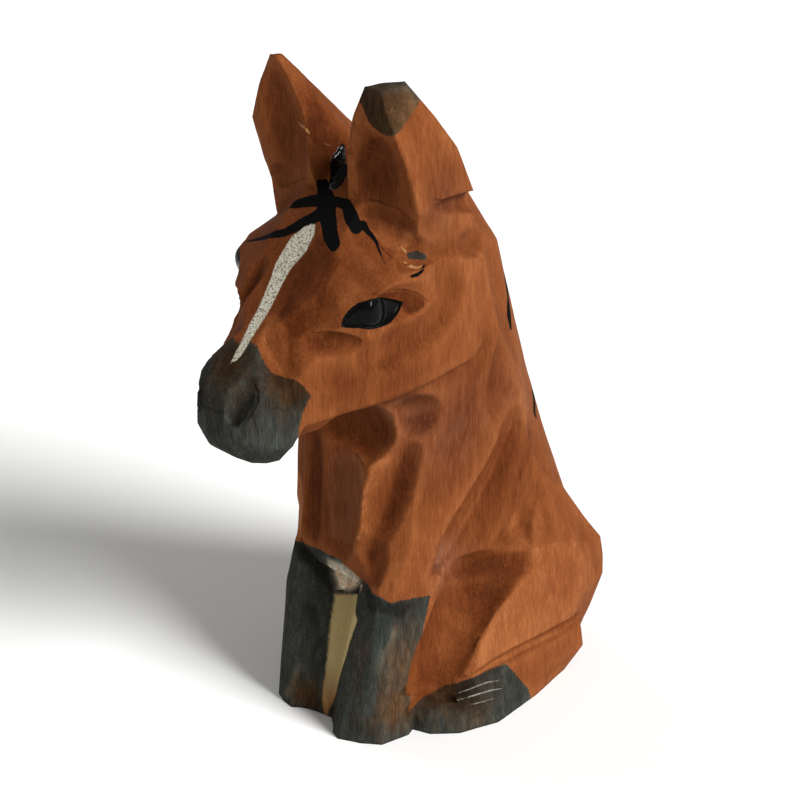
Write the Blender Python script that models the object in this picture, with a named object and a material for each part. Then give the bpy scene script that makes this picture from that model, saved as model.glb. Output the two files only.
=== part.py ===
"""A small sitting foal, hand-carved from one block of wood and resting on its own feet.

Carving coordinates are millimetres: X to the foal's left, Y to its rear, Z up.
The masses are roughed out as lofts and joined, then pared with gouge scoops.
"""

import math

import bmesh
import bpy
from mathutils import Matrix, Vector
from mathutils.bvhtree import BVHTree

MM = 0.001

STAIN = (0.33, 0.13, 0.045, 1.0)  # reddish-brown wood stain
STAIN_ROUGHNESS = 0.5
BACK_SHIFT = -5.7  # moves the carving along Y so that it stands centred on the origin
BACK_CROWN = 0.9  # how far the back swells past its corners
SCOOP_STRIPS = 18  # facets round a gouge cut
SCOOP_RINGS = 9  # facets along a gouge cut


# ---------------------------------------------------------------- mesh helpers


def new_object(name, bm, collection):
    """Puts a bmesh, built in millimetres, into the scene as an object in metres."""
    bmesh.ops.recalc_face_normals(bm, faces=bm.faces)
    mesh = bpy.data.meshes.new(name)
    bm.to_mesh(mesh)
    bm.free()
    mesh.transform(Matrix.Scale(MM, 4))
    obj = bpy.data.objects.new(name, mesh)
    collection.objects.link(obj)
    return obj


def loft(name, rings, collection):
    """A closed solid through rings that all have the same number of points."""
    bm = bmesh.new()
    loops = [[bm.verts.new(point) for point in ring] for ring in rings]
    count = len(rings[0])
    for low, high in zip(loops, loops[1:]):
        for i in range(count):
            j = (i + 1) % count
            bm.faces.new((low[i], low[j], high[j], high[i]))
    bm.faces.new(loops[0])
    bm.faces.new(loops[-1])
    bmesh.ops.triangulate(bm, faces=bm.faces)
    return new_object(name, bm, collection)


def chamfered(low, high, half, low_flat, high_flat, low_slope, high_slope, crown=0.0):
    """A symmetric outline with chamfered corners and a crowned far side, as (x, v) pairs."""
    right = [
        (low_flat, low),
        (half, low + low_slope),
        (half, high - high_slope),
        (high_flat, high),
        (high_flat / 2, high + crown),
    ]
    return right + [(-x, v) for x, v in reversed(right)]


def apply_boolean(target, tool, operation):
    """Joins or cuts target with tool, bakes the result and removes the tool."""
    modifier = target.modifiers.new(operation, "BOOLEAN")
    modifier.operation = operation
    modifier.object = tool
    graph = bpy.context.evaluated_depsgraph_get()
    baked = bpy.data.meshes.new_from_object(target.evaluated_get(graph))
    target.modifiers.clear()
    old = target.data
    target.data = baked
    bpy.data.meshes.remove(old)
    bpy.data.objects.remove(tool)


def stained_wood():
    material = bpy.data.materials.new("stained_wood")
    material.use_nodes = True
    shader = material.node_tree.nodes["Principled BSDF"]
    shader.inputs["Base Color"].default_value = STAIN
    shader.inputs["Roughness"].default_value = STAIN_ROUGHNESS
    shader.inputs["Metallic"].default_value = 0.0
    return material


# ---------------------------------------------------------------- rough masses

# height, front, back, half width, front flat, back flat, front slope, back slope
TORSO = (
    (0.0, 1.0, 29.0, 9.0, 6.0, 8.0, 2.0, 4.0),
    (6.0, 1.0, 32.5, 9.2, 6.0, 8.0, 2.0, 4.0),
    (14.0, 1.0, 34.0, 9.4, 6.0, 8.0, 2.0, 4.0),
    (21.6, 1.0, 33.4, 9.8, 7.0, 8.0, 2.0, 5.0),
    (22.6, -4.4, 33.0, 10.4, 6.5, 8.0, 2.6, 5.0),
    (26.0, -5.4, 31.8, 11.2, 7.0, 8.0, 3.6, 5.0),
    (31.0, -6.2, 30.0, 11.6, 7.4, 7.6, 4.2, 5.0),
    (38.0, -5.8, 27.2, 11.8, 7.2, 7.5, 4.2, 6.0),
    (48.0, -5.0, 24.0, 12.0, 6.6, 7.0, 4.6, 6.0),
    (59.0, -4.4, 20.6, 12.0, 6.6, 7.0, 4.6, 6.0),
    (68.0, -3.0, 17.9, 11.8, 8.0, 7.0, 4.0, 6.0),
    (72.0, -2.0, 15.4, 11.0, 8.0, 6.5, 4.0, 6.0),
    (77.5, -1.0, 12.0, 9.0, 7.0, 6.0, 4.0, 6.0),
)

# station along Y, chin, top, half width, chin flat, top flat, chin slope, top slope
HEAD = (
    (15.0, 55.5, 67.0, 11.0, 6.0, 5.0, 4.0, 5.0),
    (8.0, 52.5, 75.5, 12.8, 9.0, 6.0, 3.0, 5.0),
    (-2.0, 51.5, 81.0, 13.5, 9.0, 5.0, 3.2, 9.5),
    (-8.0, 51.4, 75.0, 13.4, 8.0, 5.5, 3.2, 5.3),
    (-10.6, 51.2, 71.7, 12.7, 7.0, 6.2, 3.2, 3.2),
    (-13.6, 49.9, 68.0, 9.8, 6.5, 5.8, 3.0, 3.6),
    (-17.2, 49.2, 64.7, 8.1, 5.0, 3.4, 3.0, 5.0),
    (-18.6, 46.4, 63.4, 7.2, 4.5, 1.6, 3.0, 6.0),
    (-20.2, 46.4, 61.8, 6.9, 4.0, 2.4, 3.0, 4.6),
    (-22.2, 46.9, 59.6, 6.4, 3.5, 4.2, 3.0, 3.0),
    (-24.2, 48.0, 57.8, 4.9, 2.5, 3.5, 2.5, 2.5),
    (-25.1, 49.1, 56.6, 3.9, 2.0, 2.5, 1.8, 1.8),
    (-25.6, 50.6, 54.8, 2.4, 1.2, 1.2, 0.9, 0.9),
)

# height, then the left leg's outline and the right one's, from the cleft outward
FRONT_LEGS = (
    (
        0.0,
        ((0.0, -6.5), (1.6, -7.6), (2.8, -8.8), (4.6, -9.4), (7.5, -7.9), (9.9, -6.0)),
        ((2.6, -6.9), (4.5, -7.6), (6.0, -8.9), (8.1, -8.6), (10.0, -7.8)),
    ),
    (
        6.0,
        ((0.0, -5.0), (1.8, -6.6), (3.4, -7.9), (5.4, -8.5), (7.8, -7.7), (10.2, -5.2)),
        ((2.0, -6.6), (4.5, -7.8), (6.0, -8.4), (8.4, -8.4), (9.8, -7.4)),
    ),
    (
        15.0,
        ((0.0, -2.4), (2.2, -4.8), (4.0, -6.2), (6.2, -7.0), (9.0, -6.9), (10.5, -5.2)),
        ((2.2, -4.8), (4.0, -5.8), (6.0, -6.6), (8.4, -7.2), (9.6, -6.5)),
    ),
    (
        21.8,
        ((0.0, 0.0), (3.0, -3.0), (4.5, -4.5), (6.5, -5.6), (9.0, -6.0), (10.4, -4.8)),
        ((3.0, -3.0), (4.5, -4.2), (6.0, -5.4), (8.0, -6.4), (9.4, -6.0)),
    ),
    (
        25.0,
        ((0.0, 0.0), (3.0, -1.0), (4.5, -2.0), (6.5, -4.6), (9.0, -5.7), (10.9, -4.4)),
        ((3.0, -1.0), (4.5, -2.2), (6.0, -3.6), (8.0, -4.6), (9.2, -4.4)),
    ),
    (
        30.0,
        ((0.0, 0.0), (3.0, -1.0), (4.5, -2.0), (6.5, -4.0), (8.2, -5.2), (11.6, -2.2)),
        ((3.0, -1.0), (4.5, -2.2), (6.0, -3.0), (8.0, -3.6), (11.4, -2.0)),
    ),
    (
        38.0,
        ((0.0, 2.0), (3.0, 1.0), (4.5, 0.0), (6.5, -2.0), (8.2, -3.6), (11.6, -0.8)),
        ((3.0, 1.0), (4.5, 0.0), (6.0, -1.0), (8.0, -3.0), (11.6, -0.8)),
    ),
)
# the leg's back corner at the same heights
LEG_BACK = (
    (10.6, -1.5),
    (10.8, -0.8),
    (11.1, 0.8),
    (11.5, 2.8),
    (11.8, 4.2),
    (12.2, 7.2),
    (11.6, 13.0),
)

# height, then the outline from the front inner corner round the outside
THIGH = (
    (4.0, ((9, -0.6), (13.4, 3.0), (14.4, 10), (14.4, 26), (11, 33), (-1, 33), (-1, -0.6))),
    (7.0, ((9, 1.5), (14.8, 6.3), (15.0, 14), (14.6, 26), (11.5, 34.4), (-1, 34.5), (-1, 0))),
    (12.0, ((9, 2.6), (14.6, 8.6), (14.9, 17), (14.8, 28), (12, 36.4), (-1, 37), (-1, 2))),
    (15.0, ((9, 3.4), (14.4, 10.8), (14.7, 19), (14.5, 28.6), (11.8, 36.5), (-1, 37), (-1, 3))),
    (18.0, ((9, 4.8), (14.0, 15.0), (14.4, 20.5), (14.1, 29), (11.5, 36.1), (-1, 36.5), (-1, 4))),
    (22.4, ((9, 9), (13.2, 20.2), (13.7, 24.8), (13.2, 28.6), (11, 32.8), (-1, 33.6), (-1, 6))),
    (28.0, ((9, 20), (11.6, 21.6), (12.4, 24.6), (12.0, 26.8), (10.2, 29.2), (-1, 30.2), (-1, 18))),
    (33.0, ((9, 21), (9.8, 21.4), (10.6, 22.6), (10.2, 24.8), (8.0, 27), (-1, 27.6), (-1, 19))),
)

# the same for the foot, whose inner edge lies under the belly
HIND_FOOT = (
    (0.0, ((9.4, -0.4), (12.5, 0.8), (15.2, 4), (16.9, 10), (15.6, 19), (13.6, 27), (5, 28), (5, 0))),
    (3.0, ((9.4, -0.6), (12.4, 0.6), (15.2, 4.4), (16.5, 11), (15.4, 20), (14, 30.4), (5, 32), (5, 0))),
    (7.6, ((9.2, 4.6), (12.4, 5.4), (14.2, 8), (15.1, 13), (15, 20), (13.8, 29.8), (5, 31), (5, 4.6))),
)

LEFT_EAR = (
    (69.0, ((2.5, -3.0), (12.4, -2.0), (12.4, 8.6), (9, 13), (2.5, 9))),
    (76.6, ((2.6, -4.6), (12.8, -2.3), (11.6, 8.6), (8, 10.6), (2.6, 8))),
    (78.2, ((3.0, -5.0), (13.5, -2.5), (12.1, 8.4), (8, 9.9), (3.3, 6.5))),
    (85.0, ((4.2, -6.2), (13.4, -4.6), (12.2, 5.2), (9, 6.8), (5, 2))),
    (90.0, ((5.8, -6.6), (12.2, -6.0), (12.2, 1.2), (9, 2.8), (6.5, -1))),
    (94.3, ((7.8, -6.4), (10.4, -6.2), (11.2, -2.6), (9.4, -1.2), (8.0, -4))),
)
RIGHT_EAR = (
    (69.0, ((2.5, -3.0), (12.9, -3.2), (12.2, 8.0), (9, 12), (2.5, 9))),
    (76.6, ((2.6, -4.6), (13.6, -3.8), (11.4, 7.6), (8, 10), (2.6, 8))),
    (79.0, ((3.2, -5.2), (14.2, -4.4), (11.5, 8.4), (8, 10.2), (3.5, 6))),
    (85.0, ((4.6, -6.2), (14.8, -5.8), (11.2, 3.6), (9, 4.4), (5, 1))),
    (90.0, ((6.8, -6.4), (12.9, -6.0), (10.4, -1.2), (9, -0.6), (7.3, -2.4))),
    (94.4, ((9.0, -6.2), (10.6, -6.0), (10.0, -5.0), (9.6, -4.8), (9.1, -5.4))),
)


def front_legs(collection):
    rings = []
    for (z, left, right), (back_x, back_y) in zip(FRONT_LEGS, LEG_BACK):
        ring = [(x, y, z) for x, y in left]
        ring += [(back_x, back_y, z), (back_x - 2.2, back_y + 5.0, z)]
        ring += [(2.2 - back_x, back_y + 5.0, z), (-back_x, back_y, z)]
        ring += [(-x, y, z) for x, y in reversed(right)]
        rings.append(ring)
    return loft("front_legs", rings, collection)


def side_mass(name, table, side, collection):
    """A mass lofted up through outlines given for the left side, or their mirror."""
    rings = [[(side * x, y, z) for x, y in outline] for z, outline in table]
    return loft(name, rings, collection)


def rough_out(collection):
    block = loft(
        "horse",
        [[(x, y, row[0]) for x, y in chamfered(*row[1:], BACK_CROWN)] for row in TORSO],
        collection,
    )
    head = loft(
        "head",
        [[(x, row[0], z) for x, z in chamfered(*row[1:])] for row in HEAD],
        collection,
    )
    masses = [head, front_legs(collection)]
    masses += [side_mass("ear", LEFT_EAR, 1, collection), side_mass("ear", RIGHT_EAR, -1, collection)]
    for side in (1, -1):
        masses.append(side_mass("thigh", THIGH, side, collection))
        masses.append(side_mass("hind_foot", HIND_FOOT, side, collection))
    for mass in masses:
        apply_boolean(block, mass, "UNION")
    return block


# ---------------------------------------------------------------- gouge cuts


def land(tree, point, out):
    """Drops a point onto the rough block along the cut's inward direction."""
    hit = tree.ray_cast(point + out * 5.0, -out, 10.0)[0]
    return hit if hit else point


def scoop(block, tree, start, end, width, depth, out, collection):
    """One gouge cut: an ellipsoid sunk into the surface between two points on it."""
    out = Vector(out).normalized()
    start, end = land(tree, Vector(start), out), land(tree, Vector(end), out)
    along = end - start
    length = along.length
    along.normalize()
    out = (out - along * out.dot(along)).normalized()
    across = out.cross(along)
    tall = max(3.0 * depth, 2.5)
    spread = math.sqrt(1.0 - ((tall - depth) / tall) ** 2)
    centre = (start + end) / 2 + out * (tall - depth)
    size = (width / 2 / spread, tall, length / 2 / spread)
    frame = Matrix((across, out, along)).transposed().to_4x4()
    placing = Matrix.Translation(centre) @ frame @ Matrix.Diagonal((*size, 1.0))
    bm = bmesh.new()
    bmesh.ops.create_uvsphere(
        bm, u_segments=SCOOP_STRIPS, v_segments=SCOOP_RINGS, radius=1.0, matrix=placing
    )
    apply_boolean(block, new_object("gouge", bm, collection), "DIFFERENCE")


def groove(block, tree, path, out, collection):
    """A gouge pushed along a path, each station given as (x, y, z, width, depth)."""
    out = Vector(out).normalized()
    spots = [land(tree, Vector(row[:3]), out) for row in path]
    rings = []
    for i, (spot, row) in enumerate(zip(spots, path)):
        width, depth = row[3:]
        along = (spots[min(i + 1, len(spots) - 1)] - spots[max(i - 1, 0)]).normalized()
        up = (out - along * out.dot(along)).normalized()
        across = up.cross(along)
        tall = max(3.0 * abs(depth), 2.5)
        spread = math.sqrt(1.0 - ((tall - abs(depth)) / tall) ** 2)
        centre = spot + up * (tall - depth)
        ring = []
        for k in range(SCOOP_STRIPS):
            angle = 2.0 * math.pi * k / SCOOP_STRIPS
            side_step = across * (math.sin(angle) * width / 2 / spread)
            ring.append(centre + side_step - up * (math.cos(angle) * tall))
        rings.append(ring)
    apply_boolean(block, loft("gouge", rings, collection), "DIFFERENCE")


# stations (x, y, z, width, depth), then the outward direction; cut on both sides
PAIRED_GROOVES = (
    # cheek: down behind the eye, then forward under it
    (
        (
            (13.3, 3.6, 73.6, 4.0, -0.3),
            (13.3, 3.9, 70.0, 5.6, 0.6),
            (13.3, 4.1, 66.0, 6.2, 0.9),
            (13.3, 3.0, 63.4, 6.0, 0.9),
            (13.5, -0.6, 62.0, 5.8, 0.8),
            (13.5, -5.0, 61.4, 5.6, 0.7),
            (13.0, -9.5, 61.0, 5.2, 0.6),
            (11.0, -13.0, 60.8, 4.6, -0.3),
        ),
        (1.0, -0.1, 0.0),
    ),
    # crease between the thigh and the hind foot
    (
        (
            (9.6, -2.6, 3.2, 1.6, 0.1),
            (11.6, 1.0, 4.8, 1.8, 0.7),
            (14.4, 7.0, 7.4, 2.0, 0.7),
            (14.8, 13.0, 8.4, 2.0, 0.7),
            (14.8, 20.0, 8.2, 2.0, 0.7),
            (14.2, 28.0, 7.9, 2.2, 0.8),
            (13.4, 35.0, 7.6, 2.2, 0.8),
        ),
        (1.0, -0.1, -0.1),
    ),
    # under the belly, arching from the front leg to the thigh
    (
        (
            (11.4, 3.2, 22.4, 2.6, -0.2),
            (11.2, 6.0, 22.7, 4.0, 0.9),
            (11.0, 9.4, 22.2, 4.6, 1.5),
            (11.2, 13.6, 21.9, 4.4, 1.4),
            (12.0, 17.2, 21.8, 3.8, 0.9),
            (12.9, 20.6, 22.0, 2.6, -0.2),
        ),
        (1.0, -0.2, 0.0),
    ),
    # flat of the flank, between the front leg and the thigh
    (
        (
            (10.6, 1.2, 5.0, 2.6, -0.1),
            (10.4, 2.0, 6.8, 4.4, 0.5),
            (10.2, 2.8, 8.8, 5.4, 0.6),
            (9.8, 4.4, 11.6, 6.2, 0.7),
            (9.6, 6.8, 15.6, 6.6, 0.8),
            (10.0, 10.4, 19.4, 6.6, 0.8),
            (11.2, 14.4, 21.4, 5.2, 0.6),
            (12.2, 17.4, 22.6, 3.4, -0.5),
        ),
        (0.9, -0.43, 0.0),
    ),
    # flank, behind the long ridge that runs down from the neck to the front leg
    (
        (
            (11.9, 17.8, 46.0, 2.4, -0.2),
            (11.9, 17.4, 43.6, 3.4, 0.5),
            (11.9, 16.8, 40.0, 4.8, 0.8),
            (11.9, 15.4, 36.4, 6.2, 1.0),
            (11.9, 13.6, 32.0, 8.8, 1.2),
            (11.9, 11.8, 28.6, 10.8, 1.3),
            (11.6, 9.9, 25.4, 11.6, 1.2),
            (11.2, 9.0, 22.6, 11.0, 0.6),
        ),
        (0.94, -0.34, 0.0),
    ),
    # nostril, pushed down and stopped short
    (
        (
            (3.4, -22.6, 60.4, 1.8, -0.2),
            (3.3, -23.2, 58.4, 3.4, 0.5),
            (3.1, -24.0, 56.2, 4.2, 0.9),
            (2.9, -24.6, 54.4, 3.4, 1.1),
            (3.0, -25.0, 53.0, 1.4, 0.9),
        ),
        (0.62, -0.78, 0.0),
    ),
    # behind the temple
    (
        (
            (13.0, -3.4, 73.4, 1.6, -0.1),
            (12.8, 0.0, 72.4, 2.2, 0.5),
            (12.4, 6.0, 71.6, 2.4, 0.5),
            (10.6, 13.0, 71.0, 2.4, 0.4),
        ),
        (1.0, 0.2, 0.1),
    ),
)

LEFT_GROOVES = (
    # flute down the side of the chest
    (
        (
            (11.6, -0.8, 50.0, 4.6, 0.3),
            (10.8, -1.6, 45.0, 5.4, 1.2),
            (9.4, -3.0, 40.0, 6.4, 1.6),
            (7.8, -4.2, 35.6, 7.2, 1.7),
            (6.4, -4.9, 31.4, 7.2, 1.4),
            (5.7, -5.3, 27.8, 5.0, 0.8),
            (6.0, -5.6, 25.0, 2.6, -0.4),
        ),
        (0.62, -0.78, 0.0),
    ),
)


# start, end, width, depth, outward direction; cut on both sides
PAIRED_SCOOPS = (
    # short cut under the back of the jaw
    ((9.2, -3.8, 49.0), (12.8, 3.0, 48.6), 5.6, 1.0, (0.85, -0.5, 0.0)),
    # cut behind the jaw
    ((12.1, 16.5, 57.0), (12.1, 12.0, 44.0), 6.4, 0.6, (1.0, 0.2, 0.0)),
    # scoop below the eye
    ((5.8, -15.0, 64.1), (12.4, -10.8, 63.2), 2.8, 0.6, (0.7, -0.68, -0.3)),
    # socket behind the eye
    ((13.0, -10.5, 67.4), (13.5, 0.2, 66.4), 4.2, 0.5, (1.0, -0.1, 0.1)),
    # facet of the rump
    ((11.8, 24.0, 40.0), (12.6, 31.0, 23.0), 9.0, 0.5, (0.9, 0.3, 0.2)),
    # neck beside the mane
    ((11.4, 15.0, 70.0), (11.8, 21.0, 48.0), 6.4, 0.5, (0.9, 0.45, 0.0)),
    # stop cut under the ear
    ((6.6, -6.4, 78.0), (12.2, -4.2, 75.8), 3.4, 0.5, (0.3, -0.8, 0.5)),
    # parting beside the tail
    ((3.6, 32.0, 30.0), (2.6, 38.0, 9.0), 2.2, 0.8, (0.1, 1.0, 0.1)),
)

LEFT_SCOOPS = (
    # front of the ear
    ((9.4, -6.3, 89.4), (8.6, -3.6, 77.2), 7.4, 1.1, (0.0, -1.0, 0.0)),
    # flute down the middle of the chest
    ((2.4, -5.0, 48.0), (0.0, -6.2, 24.5), 7.6, 1.0, (0.0, -1.0, 0.0)),
    # under the back of the ear
    ((12.8, -1.0, 78.4), (10.0, 10.0, 76.4), 1.6, 0.35, (1.0, 0.3, 0.0)),
    # short cut under the front of the jaw
    ((-3.2, -5.0, 45.2), (10.0, -3.0, 47.2), 7.4, 1.5, (0.25, -1.0, 0.0)),
)
RIGHT_SCOOPS = (
    # front of the ear
    ((9.6, -6.0, 94.0), (8.4, -3.8, 77.0), 7.6, 1.1, (-0.1, -1.0, 0.0)),
    # hollow between the bridge of the nose and the cheek, and the cheek's front
    ((5.0, -12.6, 70.0), (7.2, -19.4, 57.0), 3.2, 0.8, (0.6, -0.8, 0.1)),
    ((10.9, -12.4, 64.8), (9.6, -14.4, 57.0), 8.4, 0.9, (0.72, -0.69, 0.0)),
    # flute beside the middle of the chest, and the facet beyond it
    ((4.8, -5.2, 49.0), (4.6, -6.2, 25.0), 4.4, 0.9, (0.0, -1.0, 0.0)),
    ((8.4, -4.4, 48.0), (8.2, -5.2, 27.0), 3.6, 0.4, (0.5, -0.87, 0.0)),
    # short cut under the front of the jaw
    ((4.4, -5.0, 46.4), (10.0, -3.0, 47.6), 6.0, 1.2, (0.3, -1.0, 0.0)),
)


def pare(block, collection):
    points = [vertex.co / MM for vertex in block.data.vertices]
    tree = BVHTree.FromPolygons(points, [tuple(face.vertices) for face in block.data.polygons])
    for side in (1, -1):
        mirror = Vector((side, 1, 1))
        for path, out in PAIRED_GROOVES + (LEFT_GROOVES if side > 0 else ()):
            path = [(side * row[0], *row[1:]) for row in path]
            groove(block, tree, path, Vector(out) * mirror, collection)
        for start, end, width, depth, out in PAIRED_SCOOPS + (
            LEFT_SCOOPS if side > 0 else RIGHT_SCOOPS
        ):
            start, end = Vector(start) * mirror, Vector(end) * mirror
            scoop(block, tree, start, end, width, depth, Vector(out) * mirror, collection)


def main():
    for obj in list(bpy.data.objects):
        bpy.data.objects.remove(obj)
    collection = bpy.data.collections.new("carved_horse")
    bpy.context.scene.collection.children.link(collection)
    horse = rough_out(collection)
    pare(horse, collection)
    horse.data.transform(Matrix.Translation((0.0, BACK_SHIFT * MM, 0.0)))
    horse.data.materials.clear()
    horse.data.materials.append(stained_wood())


main()
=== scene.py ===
"""The carved foal's looks: knife-cut surface, stained wood and brushed paint.

Marks are placed in millimetres in the row frame: +X the foal's left, -Y its front, +Z up.
"""

import math

import bmesh
import bpy
import numpy as np
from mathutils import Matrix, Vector, noise
from mathutils.bvhtree import BVHTree


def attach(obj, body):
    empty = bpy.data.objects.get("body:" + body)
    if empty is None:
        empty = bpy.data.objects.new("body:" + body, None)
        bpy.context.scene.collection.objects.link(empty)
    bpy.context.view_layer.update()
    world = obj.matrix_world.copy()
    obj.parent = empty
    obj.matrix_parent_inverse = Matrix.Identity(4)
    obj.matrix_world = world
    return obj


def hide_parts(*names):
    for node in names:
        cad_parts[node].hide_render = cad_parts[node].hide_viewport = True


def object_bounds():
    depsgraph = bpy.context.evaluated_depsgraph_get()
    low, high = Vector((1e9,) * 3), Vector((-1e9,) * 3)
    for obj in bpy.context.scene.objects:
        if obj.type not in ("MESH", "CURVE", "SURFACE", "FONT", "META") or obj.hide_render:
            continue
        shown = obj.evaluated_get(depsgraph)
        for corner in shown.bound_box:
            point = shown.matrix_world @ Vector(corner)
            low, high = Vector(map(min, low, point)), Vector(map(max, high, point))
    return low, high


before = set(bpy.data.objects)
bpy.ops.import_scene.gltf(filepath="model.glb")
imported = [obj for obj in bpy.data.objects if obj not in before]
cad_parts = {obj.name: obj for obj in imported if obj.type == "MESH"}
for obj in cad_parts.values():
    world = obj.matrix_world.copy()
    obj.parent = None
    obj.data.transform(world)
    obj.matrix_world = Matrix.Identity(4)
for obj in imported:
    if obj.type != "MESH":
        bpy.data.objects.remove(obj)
cad_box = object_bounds()

MM = 0.001
FAR = 99.0  # a distance, in mm, that counts as nowhere near

# ---------------------------------------------------------------- surface settings, mm

OCTREE = (8, 0.76)  # depth and scale of the even mesh, points about 0.49 mm apart
RIDGE_BEND = 4.0  # degrees; ridges that bend more than this stay sharp
HOLLOW_BEND = 24.0  # degrees; hollows that bend less than this are evened out
FACET_ROUNDS = 45
SETTLE_ROUNDS = 14
UNTANGLE_ROUNDS = 6
FOLD_LIMIT = -0.1  # cosine to the surface round it below which a face counts as folded
EAR_FOOT = 76.0  # above this height the ears' thin edges are left as they are
WAVINESS = 0.05  # of the knife's cuts
FIBRE_RELIEF = 0.02
CUT_EDGE = 0.35  # over which the stain changes at the edge of a cut
BRUSH_EDGE = 0.8  # over which one brush stroke fades into another

# ---------------------------------------------------------------- painted marks, mm

# stations are x, y, z and half the stroke's width
BLAZE = (
    (-0.1, -14.2, 74.3, 0.6), (-0.4, -14.9, 73.5, 1.3), (-0.9, -15.9, 72.2, 1.85),
    (-1.3, -17.0, 70.8, 1.6), (-1.5, -18.0, 69.7, 1.4), (-1.2, -19.6, 67.8, 1.1),
    (-0.6, -21.3, 66.2, 1.0), (-0.3, -22.5, 65.0, 0.95), (-0.2, -23.9, 63.8, 0.85),
    (0.0, -25.5, 62.2, 0.65), (0.1, -26.6, 61.1, 0.6), (0.0, -27.3, 60.2, 0.45),
    (-0.3, -27.9, 59.6, 0.04),
)

FORELOCK_RISE = (
    (-4.3, -5.3, 82.0, 0.5), (-3.7, -6.0, 80.9, 1.0), (-2.2, -7.4, 80.6, 1.35),
    (-1.0, -8.6, 80.1, 1.3), (-0.6, -9.5, 79.2, 1.15),
)
RISE = 0.45  # how far the forelock's thick lacquer stands up
RIPPLE = 0.22  # and how uneven it is
FORELOCK = (
    (
        (-2.6, -10.1, 78.6, 0.8), (-1.5, -10.8, 77.9, 1.1), (-0.2, -11.6, 77.1, 1.4),
        (1.9, -13.1, 75.6, 1.15), (3.5, -14.2, 74.4, 1.15), (4.9, -14.8, 73.6, 0.9),
    ),
    (
        (0.9, -11.2, 77.5, 0.66), (3.1, -11.1, 77.6, 0.75), (4.9, -12.0, 76.7, 0.95),
        (6.1, -12.2, 75.5, 0.8),
    ),
    # strokes that fan out over the forehead
    (
        (-1.4, -11.6, 77.1, 0.95), (-2.8, -12.0, 76.7, 0.9), (-4.2, -12.5, 76.2, 0.75),
        (-6.2, -12.8, 75.0, 0.6), (-8.0, -12.8, 74.0, 0.5), (-9.8, -12.6, 73.0, 0.3),
        (-11.6, -12.3, 72.0, 0.06),
    ),
    (
        (0.2, -12.6, 76.1, 1.2), (-0.8, -13.5, 75.2, 1.0), (-2.2, -14.3, 74.3, 0.85),
        (-4.1, -15.4, 72.9, 0.6), (-6.7, -15.9, 71.8, 0.5), (-9.6, -15.6, 70.5, 0.34),
        (-12.9, -15.2, 69.2, 0.05),
    ),
    (
        (6.3, -11.2, 75.8, 0.6), (6.9, -11.2, 75.2, 0.48), (8.0, -11.1, 74.6, 0.28),
        (8.6, -11.0, 74.0, 0.22), (9.8, -11.4, 72.8, 0.14), (11.1, -11.7, 71.9, 0.04),
    ),
)

# the back of the carving: its y by z, and how far it falls away by distance from the middle
BACK = (
    (24.0, 27.7), (28.0, 26.3), (32.0, 24.8), (38.0, 22.4), (65.0, 14.0), (68.0, 13.1), (74.0, 9.4),
    (76.0, 8.1), (77.0, 3.0), (78.0, -2.2), (80.0, -5.6),
)
BACK_FALL = ((0.0, 0.0), (4.2, 0.0), (6.0, 0.6), (7.1, 1.1), (8.0, 2.0), (8.8, 3.3), (9.2, 4.0))

# the mane and tail, brushed on from behind: stations are x, z and half the stroke's width
MANE = (
    (
        (0.1, 80.0, 0.9), (0.2, 78.0, 1.4), (0.0, 77.0, 1.7), (-0.2, 76.0, 2.0), (0.0, 73.0, 2.2),
        (0.4, 67.0, 2.4), (-0.2, 60.0, 2.2), (0.3, 53.0, 2.0), (-0.2, 46.0, 1.7), (0.1, 39.0, 1.2),
        (0.0, 34.0, 0.2),
    ),
    ((1.2, 75.0, 1.2), (3.4, 70.6, 1.2), (4.7, 67.4, 0.9), (5.1, 65.0, 0.25)),
    (
        (1.2, 70.0, 1.3), (4.4, 65.2, 1.3), (7.1, 61.2, 0.8), (8.2, 59.1, 0.75), (8.8, 57.4, 0.6),
        (9.1, 55.4, 0.3),
    ),
    ((1.4, 62.0, 1.2), (3.7, 57.4, 1.2), (5.0, 53.6, 1.0), (5.3, 50.6, 0.25)),
    (
        (1.2, 54.0, 1.2), (4.0, 48.4, 1.2), (6.4, 44.2, 0.9), (7.9, 41.9, 0.7), (8.7, 41.1, 0.6),
        (8.6, 40.0, 0.36),
    ),
    ((0.9, 46.0, 1.0), (2.7, 41.6, 1.0), (3.6, 37.8, 0.8), (3.6, 35.2, 0.2)),
    ((-1.2, 74.0, 1.2), (-3.8, 69.0, 1.3), (-5.4, 65.4, 1.0), (-6.0, 62.4, 0.25)),
    ((-1.2, 67.0, 1.3), (-3.9, 62.0, 1.3), (-6.4, 57.4, 1.0), (-7.9, 54.6, 0.8), (-8.4, 52.4, 0.3)),
    ((-1.2, 59.0, 1.2), (-3.3, 54.4, 1.2), (-4.6, 50.4, 0.9), (-4.8, 47.4, 0.2)),
    ((-1.2, 51.6, 1.2), (-3.7, 46.8, 1.1), (-5.9, 43.0, 0.9), (-7.0, 40.4, 0.6), (-7.2, 38.8, 0.2)),
    ((-0.8, 44.0, 1.0), (-2.4, 39.8, 0.9), (-2.9, 36.6, 0.7), (-2.8, 34.4, 0.2)),
)
TAIL = (
    (
        (0.0, 25.9, 29.0, 0.5), (0.0, 27.0, 26.0, 1.4), (0.0, 28.2, 22.6, 1.9), (0.0, 31.1, 16.0, 2.2),
        (0.0, 31.3, 12.0, 2.1), (0.0, 29.6, 8.4, 1.6), (0.0, 28.6, 6.4, 0.6),
    ),
)

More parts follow.
